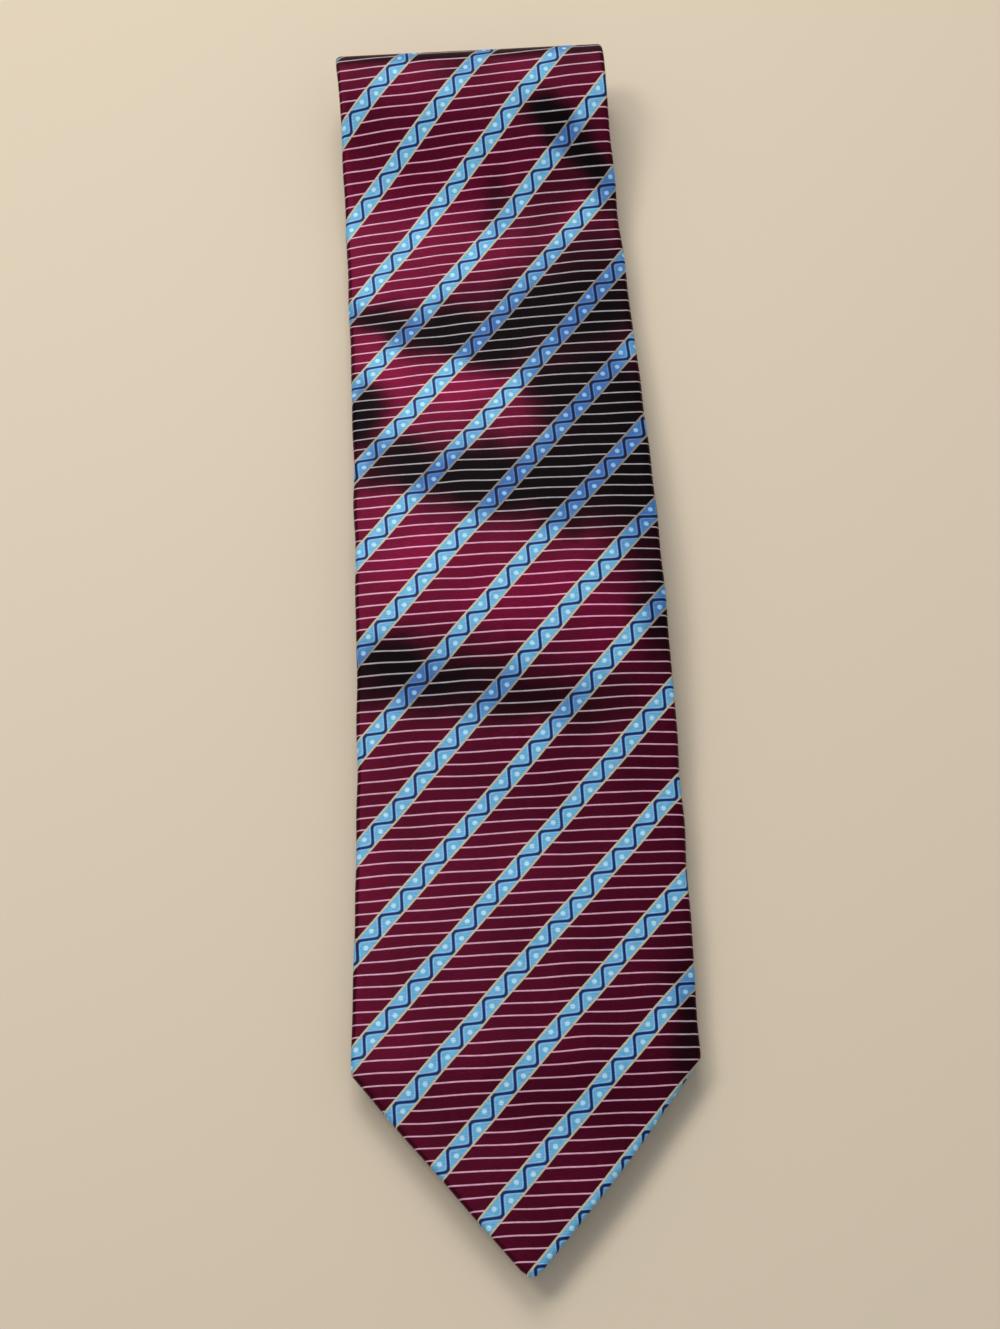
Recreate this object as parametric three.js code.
// A gentleman's necktie, pressed flat and folded into four layers with its wide blade on top.
//
// Millimetres, +Z up. The folded tie lies along Y: the wide tip points to -Y, X runs across it,
// and the origin is under the middle of the bundle, on the surface that it lies on.
//
// Everything is drawn on the flat tie first, in cloth coordinates, and then laid in its folds:
//   v  the distance along the tie from the wide tip,
//   x  the distance across it from its centre line,
//   w  the height through it, above zero towards the right side of the cloth.
// The cloth runs front panel, top fold, second panel, lower fold, third panel, inner fold, tail
// panel. The three folds are the hinges: each panel is stiff, and each fold is a piece of its own.

import * as THREE from "three";
import { mergeVertices } from "three/addons/utils/BufferGeometryUtils.js";

// ---------------------------------------------------------------- driving dimensions

// Overall sizes
const FOLDED_LENGTH = 392;
const BLADE_WIDTH = 98;
const WIDTH_AT_TOP_FOLD = 85.4;
const WIDTH_AT_LOWER_FOLD = 47;
const NECK_WIDTH = 37;
const TAIL_WIDTH = 44;
const TIP_HALF_ANGLE = THREE.MathUtils.degToRad(40.2);
const TIP_BLUNT_HALF_WIDTH = 1.7;

// Layers through one thickness of the tie
const SHELL_CLOTH = 0.4;
const INTERLINING_CLOTH = 0.9;
const TIPPING_CLOTH = 0.25;
const GAP = 0.25;

// Folds: mid-line radius of each bend, and where each one lies
const TOP_FOLD_RADIUS = 7.5;
const LOWER_FOLD_RADIUS = 2.2;
const INNER_FOLD_RADIUS = 2.4;
const LAYER_GAP = 0.3;
const FLOOR_GAP = 0.2;
const TIP_OVERHANG = 33;
const INNER_FOLD_SETBACK = 6;
const TAIL_SETBACK = 24;

// How the front panel lies: a low hump over the keeper loop, and a late rise into the top fold
const HUMP_AT = 214;
const HUMP_RISE = 6.2;
const HUMP_REACH = 95;
const RISE_REACH = 55;

// Where the sewing is, from the wide tip unless it says otherwise
const HEM = 9;
const BLADE_TACK_AT = 112;
const TAIL_TACK_FROM_TAIL_TIP = 62;
const TACK_LENGTH = 6;
const TACK_WIDTH = 0.6;
const SLIT_HALF_WIDTH = 0.6;
const THREAD_WIDTH = 0.5;
const TIPPING_TUCK = 12;
const BLADE_SEAM_PAST_LOWER_FOLD = 87;
const NECK_SEAM_BEFORE_INNER_FOLD = 65;
const SEAM_SLOPE = 1;
const SEAM_GAP = 0.3;

// The keeper loop and the two blank labels on the back of the blade
const KEEPER_AT = 207.5;
const KEEPER_BAND = 13;
const KEEPER_CLOTH = 0.6;
const KEEPER_FOOT = 5;
const KEEPER_SIDE_ROOM = 2;
const KEEPER_HEADROOM = 2.3;
const LABEL_AT = 164;
const LABEL_SIZE = { across: 46, along: 16, thick: 0.3 };
const CARE_LABEL_AT = 130;
const CARE_LABEL_SIZE = { across: 18, along: 24, thick: 0.2 };

// Fineness of the facets
const EDGE_FACETS = 5;
const FOLD_FACETS = 10;
const LONGEST_STEP = 16;
const STEPS_PAST_TAIL = 6;

// ---------------------------------------------------------------- sizes worked out from them

const THICKNESS = 2 * SHELL_CLOTH + INTERLINING_CLOTH + TIPPING_CLOTH + 3 * GAP;
const HALF = THICKNESS / 2;
const PITCH = THICKNESS + LAYER_GAP;

const TIP_Y = -FOLDED_LENGTH / 2;
const TOP_FOLD = { y: FOLDED_LENGTH / 2 - HALF - TOP_FOLD_RADIUS, radius: TOP_FOLD_RADIUS };
const LOWER_FOLD = { y: TIP_Y + TIP_OVERHANG + HALF + LOWER_FOLD_RADIUS, radius: LOWER_FOLD_RADIUS };
const INNER_FOLD = {
  y: FOLDED_LENGTH / 2 - INNER_FOLD_SETBACK - HALF - INNER_FOLD_RADIUS,
  radius: INNER_FOLD_RADIUS,
};
const TAIL_TIP_Y = LOWER_FOLD.y + TAIL_SETBACK;

// Mid-line heights. The tail panel lies flat. Each panel above rests on the one below it, and the
// panels open out towards the folds that join them.
const TAIL_HEIGHT = HALF;
const THIRD_AT_LOWER_FOLD = HALF + FLOOR_GAP;
const SECOND_AT_LOWER_FOLD = THIRD_AT_LOWER_FOLD + 2 * LOWER_FOLD_RADIUS;
const LOWER_FOLD_HEIGHT = (THIRD_AT_LOWER_FOLD + SECOND_AT_LOWER_FOLD) / 2;
// The blade's free end lies just clear of the layers below when they swing out from under it.
const TIP_HEIGHT = 2 * LOWER_FOLD_HEIGHT + LAYER_GAP + HALF;

const smooth = (t) => THREE.MathUtils.smoothstep(t, 0, 1);
const pastTail = (y) => 1 - smooth((y - LOWER_FOLD.y) / (TAIL_TIP_Y - LOWER_FOLD.y));
const innerRise = (y) => {
  const t = (y - LOWER_FOLD.y) / (INNER_FOLD.y - LOWER_FOLD.y);
  return (2 * INNER_FOLD_RADIUS - PITCH) * smooth(2 * t - 1);
};

function thirdHeight(y) {
  const onTail = TAIL_HEIGHT + PITCH + innerRise(y);
  return THREE.MathUtils.lerp(onTail, THIRD_AT_LOWER_FOLD, pastTail(y));
}

function secondHeight(y) {
  const onThird = TAIL_HEIGHT + 2 * PITCH + innerRise(y);
  return THREE.MathUtils.lerp(onThird, SECOND_AT_LOWER_FOLD, pastTail(y));
}

function frontHeight(y) {
  const fromHump = Math.min(Math.abs(y - TIP_Y - HUMP_AT) / HUMP_REACH, 1);
  const hump = (HUMP_RISE * (1 + Math.cos(Math.PI * fromHump))) / 2;
  const rise = (2 * TOP_FOLD_RADIUS - PITCH) * smooth(1 - (TOP_FOLD.y - y) / RISE_REACH);
  const onSecond = TAIL_HEIGHT + 3 * PITCH + innerRise(y);
  return THREE.MathUtils.lerp(onSecond, TIP_HEIGHT, pastTail(y)) + hump + rise;
}

TOP_FOLD.z = (frontHeight(TOP_FOLD.y) + secondHeight(TOP_FOLD.y)) / 2;
LOWER_FOLD.z = LOWER_FOLD_HEIGHT;
INNER_FOLD.z = (thirdHeight(INNER_FOLD.y) + TAIL_HEIGHT) / 2;

// The stretches of cloth, in order from the wide tip. A panel runs +1 or -1 along Y and shows its
// right side +1 up or -1 down. A fold bends with its right side +1 outside or -1 inside.
const STRETCHES = [
  { name: "front", from: TIP_Y, to: TOP_FOLD.y, faces: 1, height: frontHeight },
  { name: "topFold", fold: TOP_FOLD, side: 1, outside: 1 },
  { name: "second", from: TOP_FOLD.y, to: LOWER_FOLD.y, faces: -1, height: secondHeight },
  { name: "lowerFold", fold: LOWER_FOLD, side: -1, outside: -1 },
  { name: "third", from: LOWER_FOLD.y, to: INNER_FOLD.y, faces: 1, height: thirdHeight },
  { name: "innerFold", fold: INNER_FOLD, side: 1, outside: 1 },
  { name: "tail", from: INNER_FOLD.y, to: TAIL_TIP_Y, faces: -1, height: () => TAIL_HEIGHT },
];

const SPAN = {};
let runningV = 0;
for (const stretch of STRETCHES) {
  const length = stretch.fold ? Math.PI * stretch.fold.radius : Math.abs(stretch.to - stretch.from);
  stretch.start = runningV;
  stretch.end = runningV + length;
  runningV = stretch.end;
  SPAN[stretch.name] = stretch;
}
const TIE_LENGTH = runningV;

// ---------------------------------------------------------------- the cut of the tie

const TIP_LENGTH = BLADE_WIDTH / 2 / Math.tan(TIP_HALF_ANGLE);
const TAIL_TIP_LENGTH = TAIL_WIDTH / 2 / Math.tan(TIP_HALF_ANGLE);
const HEM_ACROSS = HEM / Math.cos(TIP_HALF_ANGLE);
const TAIL_TACK_AT = TIE_LENGTH - TAIL_TACK_FROM_TAIL_TIP - TACK_LENGTH;
const BLADE_SEAM_AT = SPAN.third.start + BLADE_SEAM_PAST_LOWER_FOLD;
const NECK_SEAM_AT = SPAN.third.end - NECK_SEAM_BEFORE_INNER_FOLD;

// Half widths at the points where the outline turns
const OUTLINE = [
  [0, TIP_BLUNT_HALF_WIDTH],
  [TIP_LENGTH, BLADE_WIDTH / 2],
  [SPAN.topFold.start, WIDTH_AT_TOP_FOLD / 2],
  [SPAN.lowerFold.start, WIDTH_AT_LOWER_FOLD / 2],
  [BLADE_SEAM_AT + NECK_WIDTH, NECK_WIDTH / 2],
  [NECK_SEAM_AT + NECK_WIDTH, NECK_WIDTH / 2],
  [TIE_LENGTH - TAIL_TIP_LENGTH, TAIL_WIDTH / 2],
  [TIE_LENGTH, TIP_BLUNT_HALF_WIDTH],
];

function between(points, v) {
  let i = 1;
  while (i < points.length - 1 && points[i][0] < v) i += 1;
  const [v0, value0] = points[i - 1];
  const [v1, value1] = points[i];
  return THREE.MathUtils.mapLinear(THREE.MathUtils.clamp(v, v0, v1), v0, v1, value0, value1);
}

const halfWidth = (v) => between(OUTLINE, v);

// How far each back flap's edge stays from the centre line. The flaps meet in a slit along the
// back, part in a V below each bar tack, and are no more than a hem along the pointed ends.
function flapEdge(v) {
  const hemEdge = halfWidth(v) - HEM_ACROSS;
  const openBlade = THREE.MathUtils.mapLinear(v, TIP_LENGTH, BLADE_TACK_AT, 1, 0);
  const tailTackEnd = TAIL_TACK_AT + TACK_LENGTH;
  const tailShoulder = TIE_LENGTH - TAIL_TIP_LENGTH;
  const openTail = THREE.MathUtils.mapLinear(v, tailTackEnd, tailShoulder, 0, 1);
  const open = THREE.MathUtils.clamp(Math.max(openBlade, openTail), 0, 1);
  const shoulder = openBlade > openTail ? BLADE_WIDTH / 2 : TAIL_WIDTH / 2;
  const edge = open < 1 ? (shoulder - HEM_ACROSS) * open : hemEdge;
  return Math.max(edge, SLIT_HALF_WIDTH);
}

// ---------------------------------------------------------------- laying cloth in its folds

function lay(v, x, w) {
  const stretch = STRETCHES.find((s) => v <= s.end) ?? SPAN.tail;
  const along = v - stretch.start;
  if (stretch.fold) {
    const turn = along / stretch.fold.radius;
    const reach = stretch.fold.radius + stretch.outside * w;
    const y = stretch.fold.y + stretch.side * reach * Math.sin(turn);
    return [x, y, stretch.fold.z + reach * Math.cos(turn)];
  }
  const y = stretch.from + Math.sign(stretch.to - stretch.from) * along;
  return [x, y, stretch.height(y) + stretch.faces * w];
}

// Where the outline, the flaps or the height turn: the layers step down past the tail's tip, so
// that stretch of each panel above it is cut into short steps.
function turnsOfTie() {
  const hemsMeet = (TIP_LENGTH * (HEM_ACROSS + SLIT_HALF_WIDTH)) / (BLADE_WIDTH / 2);
  const tailHemsMeet = (TAIL_TIP_LENGTH * (HEM_ACROSS + SLIT_HALF_WIDTH)) / (TAIL_WIDTH / 2);
  const turns = [
    hemsMeet,
    TIP_LENGTH,
    BLADE_TACK_AT,
    BLADE_SEAM_AT + NECK_WIDTH,
    NECK_SEAM_AT + NECK_WIDTH,
    TAIL_TACK_AT + TACK_LENGTH,
    TIE_LENGTH - TAIL_TIP_LENGTH,
    TIE_LENGTH - tailHemsMeet,
  ];
  for (let i = 0; i <= STEPS_PAST_TAIL; i += 1) {
    const past = (TAIL_SETBACK * i) / STEPS_PAST_TAIL;
    turns.push(LOWER_FOLD.y - TIP_Y + past);
    turns.push(SPAN.second.end - past);
    turns.push(SPAN.third.start + past);
  }
  return turns;
}

const TURNS = turnsOfTie();

// Stations along v: no step longer than LONGEST_STEP, and one at each turn.
function stations(from, to, count = 0) {
  const inside = TURNS.filter((v) => !count && v > from + 1 && v < to - 1);
  const marks = [from, ...inside, to].sort((a, b) => a - b);
  const result = [from];
  for (let i = 1; i < marks.length; i += 1) {
    const run = marks[i] - marks[i - 1];
    const steps = count || Math.ceil(run / LONGEST_STEP);
    for (let s = 1; s <= steps; s += 1) result.push(marks[i - 1] + (run * s) / steps);
  }
  return result;
}

// Extrudes a section one step to a station, then lays each vertex where place() says.
function clothPiece(name, section, vList, finish, place) {
  const steps = vList.length - 1;
  const shape = new THREE.Shape(section.map(([x, w]) => new THREE.Vector2(x, w)));
  let geometry = new THREE.ExtrudeGeometry(shape, { depth: 1, steps, bevelEnabled: false });
  geometry.deleteAttribute("uv");
  geometry.deleteAttribute("normal");
  geometry = mergeVertices(geometry, 1e-5);
  const position = geometry.attributes.position;
  for (let i = 0; i < position.count; i += 1) {
    const station = Math.round(position.getZ(i) * steps);
    const placed = place(position.getX(i), position.getY(i), vList[station], station / steps);
    position.setXYZ(i, ...placed);
  }
  // Laying swaps two axes, which turns the faces inside out, so each triangle is turned back.
  const index = geometry.index;
  for (let i = 0; i < index.count; i += 3) {
    const first = index.getX(i);
    index.setX(i, index.getX(i + 1));
    index.setX(i + 1, first);
  }
  geometry.computeVertexNormals();
  const mesh = new THREE.Mesh(geometry, finish);
  mesh.name = name;
  return mesh;
}

// ---------------------------------------------------------------- the outer cloth

// The C-shaped section of the folded cloth, drawn for a nominal half width. Only the flap edges
// lie nearer the centre than the rounded side folds, so place() can tell them apart.
const NOMINAL_HALF = 10;
const NOMINAL_SLIT = 1;

function shellSection() {
  const outer = HALF;
  const inner = HALF - SHELL_CLOTH;
  const centre = NOMINAL_HALF - HALF;
  const turn = (radius, step) => {
    const angle = (Math.PI * step) / EDGE_FACETS;
    return [centre + radius * Math.sin(angle), radius * Math.cos(angle)];
  };
  const steps = [...Array(EDGE_FACETS + 1).keys()];
  const right = [
    ...steps.map((step) => turn(outer, step)),
    [NOMINAL_SLIT, -outer],
    [NOMINAL_SLIT, -inner],
    ...steps.map((step) => turn(inner, EDGE_FACETS - step)),
  ];
  const left = right.map(([x, w]) => [-x, w]).reverse();
  return [...right, ...left];
}

const SHELL_SECTION = shellSection();

function shellX(x, v) {
  const reach = Math.abs(x) <= NOMINAL_SLIT ? flapEdge(v) : Math.abs(x) - NOMINAL_HALF + halfWidth(v);
  return Math.sign(x) * reach;
}

function shell(name, from, to, finish, count) {
  const vList = stations(from, to, count);
  return clothPiece(name, SHELL_SECTION, vList, finish, (x, w, v) => lay(v, shellX(x, v), w));
}

// The same between two bias seams. A bias seam is a slanted line on the flat cloth, so it runs on
// round the side folds and across the back flaps. slope 0 is a cut straight across.
function flatAcross(x, w, v) {
  const centre = NOMINAL_HALF - HALF;
  const turn = Math.abs(x) > centre ? Math.atan2(Math.abs(x) - centre, w) : w > 0 ? 0 : Math.PI;
  const frontHalf = halfWidth(v) - HALF;
  const onFlap = Math.abs(x) <= NOMINAL_SLIT ? frontHalf - SLIT_HALF_WIDTH : 0;
  return Math.sign(x) * (frontHalf + turn * HALF + onFlap);
}

function shellBetweenSeams(name, start, end, finish) {
  const vList = stations(start.at, end.at);
  return clothPiece(name, SHELL_SECTION, vList, finish, (x, w, straightV) => {
    const part = (straightV - start.at) / (end.at - start.at);
    const first = start.slope * flatAcross(x, w, start.at);
    const last = end.slope * flatAcross(x, w, end.at);
    const v = straightV + THREE.MathUtils.lerp(first, last, part);
    return lay(v, shellX(x, v), w);
  });
}

// ---------------------------------------------------------------- what lies inside the cloth

// A flat layer that fills the width inside the side folds, between two heights.
function innerLayer(name, from, to, low, high, finish, count) {
  const section = [[-1, low], [1, low], [1, high], [-1, high]];
  const vList = stations(from, to, count);
  const sideRoom = HALF + GAP / 2;
  const place = (x, w, v) => lay(v, Math.sign(x) * (halfWidth(v) - sideRoom), w);
  return clothPiece(name, section, vList, finish, place);
}

const INTERLINING_HIGH = HALF - SHELL_CLOTH - GAP;
const INTERLINING_LOW = INTERLINING_HIGH - INTERLINING_CLOTH;
const TIPPING_HIGH = INTERLINING_LOW - GAP;
const TIPPING_LOW = TIPPING_HIGH - TIPPING_CLOTH;

const interlining = (name, from, to, finish, count) =>
  innerLayer(name, from, to, INTERLINING_LOW, INTERLINING_HIGH, finish, count);

const tipping = (name, from, to, finish) =>
  innerLayer(name, from, to, TIPPING_LOW, TIPPING_HIGH, finish);

// A strip that lies in the slit between the back flaps, level with them.
function inSlit(name, from, to, width, finish) {
  const low = -HALF;
  const high = SHELL_CLOTH - HALF;
  const section = [[-width / 2, low], [width / 2, low], [width / 2, high], [-width / 2, high]];
  return clothPiece(name, section, stations(from, to), finish, (x, w, v) => lay(v, x, w));
}

// ---------------------------------------------------------------- what is sewn to the back

const ON_BACK = -HALF - GAP;

function backPatch(name, at, size, finish) {
  const reach = size.across / 2;
  const low = ON_BACK - size.thick;
  const section = [[-reach, low], [reach, low], [reach, ON_BACK], [-reach, ON_BACK]];
  const vList = stations(at, at + size.along);
  return clothPiece(name, section, vList, finish, (x, w, v) => lay(v, x, w));
}

// A band that stands off the back between two sewn feet, so that the tail can slide through it.
function keeperLoop(finish) {
  const roomHalf = TAIL_WIDTH / 2 + KEEPER_SIDE_ROOM;
  const roomHigh = THICKNESS + KEEPER_HEADROOM;
  const foot = roomHalf + KEEPER_CLOTH + KEEPER_FOOT;
  const under = ON_BACK - roomHigh;
  const right = [
    [foot, ON_BACK],
    [roomHalf, ON_BACK],
    [roomHalf - roomHigh, under],
  ];
  const rightOutside = [
    [roomHalf - roomHigh, under - KEEPER_CLOTH],
    [roomHalf + KEEPER_CLOTH, ON_BACK - KEEPER_CLOTH],
    [foot, ON_BACK - KEEPER_CLOTH],
  ];
  const mirror = (points) => points.map(([x, w]) => [-x, w]).reverse();
  const section = [...right, ...mirror(right), ...mirror(rightOutside), ...rightOutside];
  const vList = stations(KEEPER_AT, KEEPER_AT + KEEPER_BAND);
  return clothPiece("keeper_loop", section, vList, finish, (x, w, v) => lay(v, x, w));
}

// ---------------------------------------------------------------- finishes

const finishOf = (color, roughness) =>
  new THREE.MeshStandardMaterial({ color, roughness, metalness: 0 });

const SATIN = finishOf("#5a1024", 0.38);
const LINING = finishOf("#2b0a12", 0.55);
const WOOL = finishOf("#d9d3c4", 0.95);
const THREAD = finishOf("#6d1a2c", 0.7);
const WOVEN_LABEL = finishOf("#26242a", 0.6);
const CARE_RIBBON = finishOf("#ded9d0", 0.5);

// ---------------------------------------------------------------- assembly

const cut = SEAM_GAP / 2;
const INSIDE_TIP = 2 * HALF;
const panelSpan = (span) => [span.start + cut, span.end - cut];

const bladeSeam = (side) => ({ at: BLADE_SEAM_AT + side * cut, slope: SEAM_SLOPE });
const neckSeam = (side) => ({ at: NECK_SEAM_AT + side * cut, slope: SEAM_SLOPE });
const thirdStart = { at: SPAN.third.start + cut, slope: 0 };
const thirdEnd = { at: SPAN.third.end - cut, slope: 0 };

const afterBladeTack = BLADE_TACK_AT + TACK_LENGTH + SEAM_GAP;
const beforeTailTack = TAIL_TACK_AT - SEAM_GAP;
const tippingEnd = BLADE_TACK_AT + TIPPING_TUCK;
const tailTippingStart = TAIL_TACK_AT - TIPPING_TUCK;
const tailInnerEnd = TIE_LENGTH - INSIDE_TIP;

const necktie = new THREE.Group();
necktie.name = "necktie";

necktie.add(
  // Front panel: the wide blade, as far as the top fold
  shell("blade_shell_front", 0, SPAN.front.end - cut, SATIN),
  interlining("interlining_front", INSIDE_TIP, SPAN.front.end - cut, WOOL),
  tipping("blade_tipping", INSIDE_TIP, tippingEnd, LINING),
  inSlit("blade_bar_tack", BLADE_TACK_AT, BLADE_TACK_AT + TACK_LENGTH, TACK_WIDTH, THREAD),
  inSlit("slip_stitch_front", afterBladeTack, SPAN.front.end - cut, THREAD_WIDTH, THREAD),
  keeperLoop(SATIN),
  backPatch("maker_label_blank", LABEL_AT, LABEL_SIZE, WOVEN_LABEL),
  backPatch("care_label_blank", CARE_LABEL_AT, CARE_LABEL_SIZE, CARE_RIBBON),

  // Top fold
  shell("blade_shell_top_fold", ...panelSpan(SPAN.topFold), SATIN, FOLD_FACETS),
  interlining("interlining_top_fold", ...panelSpan(SPAN.topFold), WOOL, FOLD_FACETS),

  // Second panel: the rest of the blade
  shell("blade_shell_second", ...panelSpan(SPAN.second), SATIN),
  interlining("interlining_second", ...panelSpan(SPAN.second), WOOL),
  inSlit("slip_stitch_second", ...panelSpan(SPAN.second), THREAD_WIDTH, THREAD),

  // Lower fold
  shell("blade_shell_lower_fold", ...panelSpan(SPAN.lowerFold), SATIN, FOLD_FACETS),
  interlining("interlining_lower_fold", ...panelSpan(SPAN.lowerFold), WOOL, FOLD_FACETS),

  // Third panel: the end of the blade, the neck piece and the start of the tail, seamed together
  shellBetweenSeams("blade_shell_neck_end", thirdStart, bladeSeam(-1), SATIN),
  shellBetweenSeams("neck_shell", bladeSeam(1), neckSeam(-1), SATIN),
  shellBetweenSeams("tail_shell_start", neckSeam(1), thirdEnd, SATIN),
  interlining("interlining_third", ...panelSpan(SPAN.third), WOOL),
  inSlit("slip_stitch_third", ...panelSpan(SPAN.third), THREAD_WIDTH, THREAD),

  // Inner fold
  shell("tail_shell_inner_fold", ...panelSpan(SPAN.innerFold), SATIN, FOLD_FACETS),
  interlining("interlining_inner_fold", ...panelSpan(SPAN.innerFold), WOOL, FOLD_FACETS),

  // Tail panel
  shell("tail_shell_end", SPAN.tail.start + cut, TIE_LENGTH, SATIN),
  interlining("interlining_tail", SPAN.tail.start + cut, tailInnerEnd, WOOL),
  tipping("tail_tipping", tailTippingStart, tailInnerEnd, LINING),
  inSlit("tail_bar_tack", TAIL_TACK_AT, TAIL_TACK_AT + TACK_LENGTH, TACK_WIDTH, THREAD),
  inSlit("slip_stitch_tail", SPAN.tail.start + cut, beforeTailTack, THREAD_WIDTH, THREAD),
);

export default necktie;
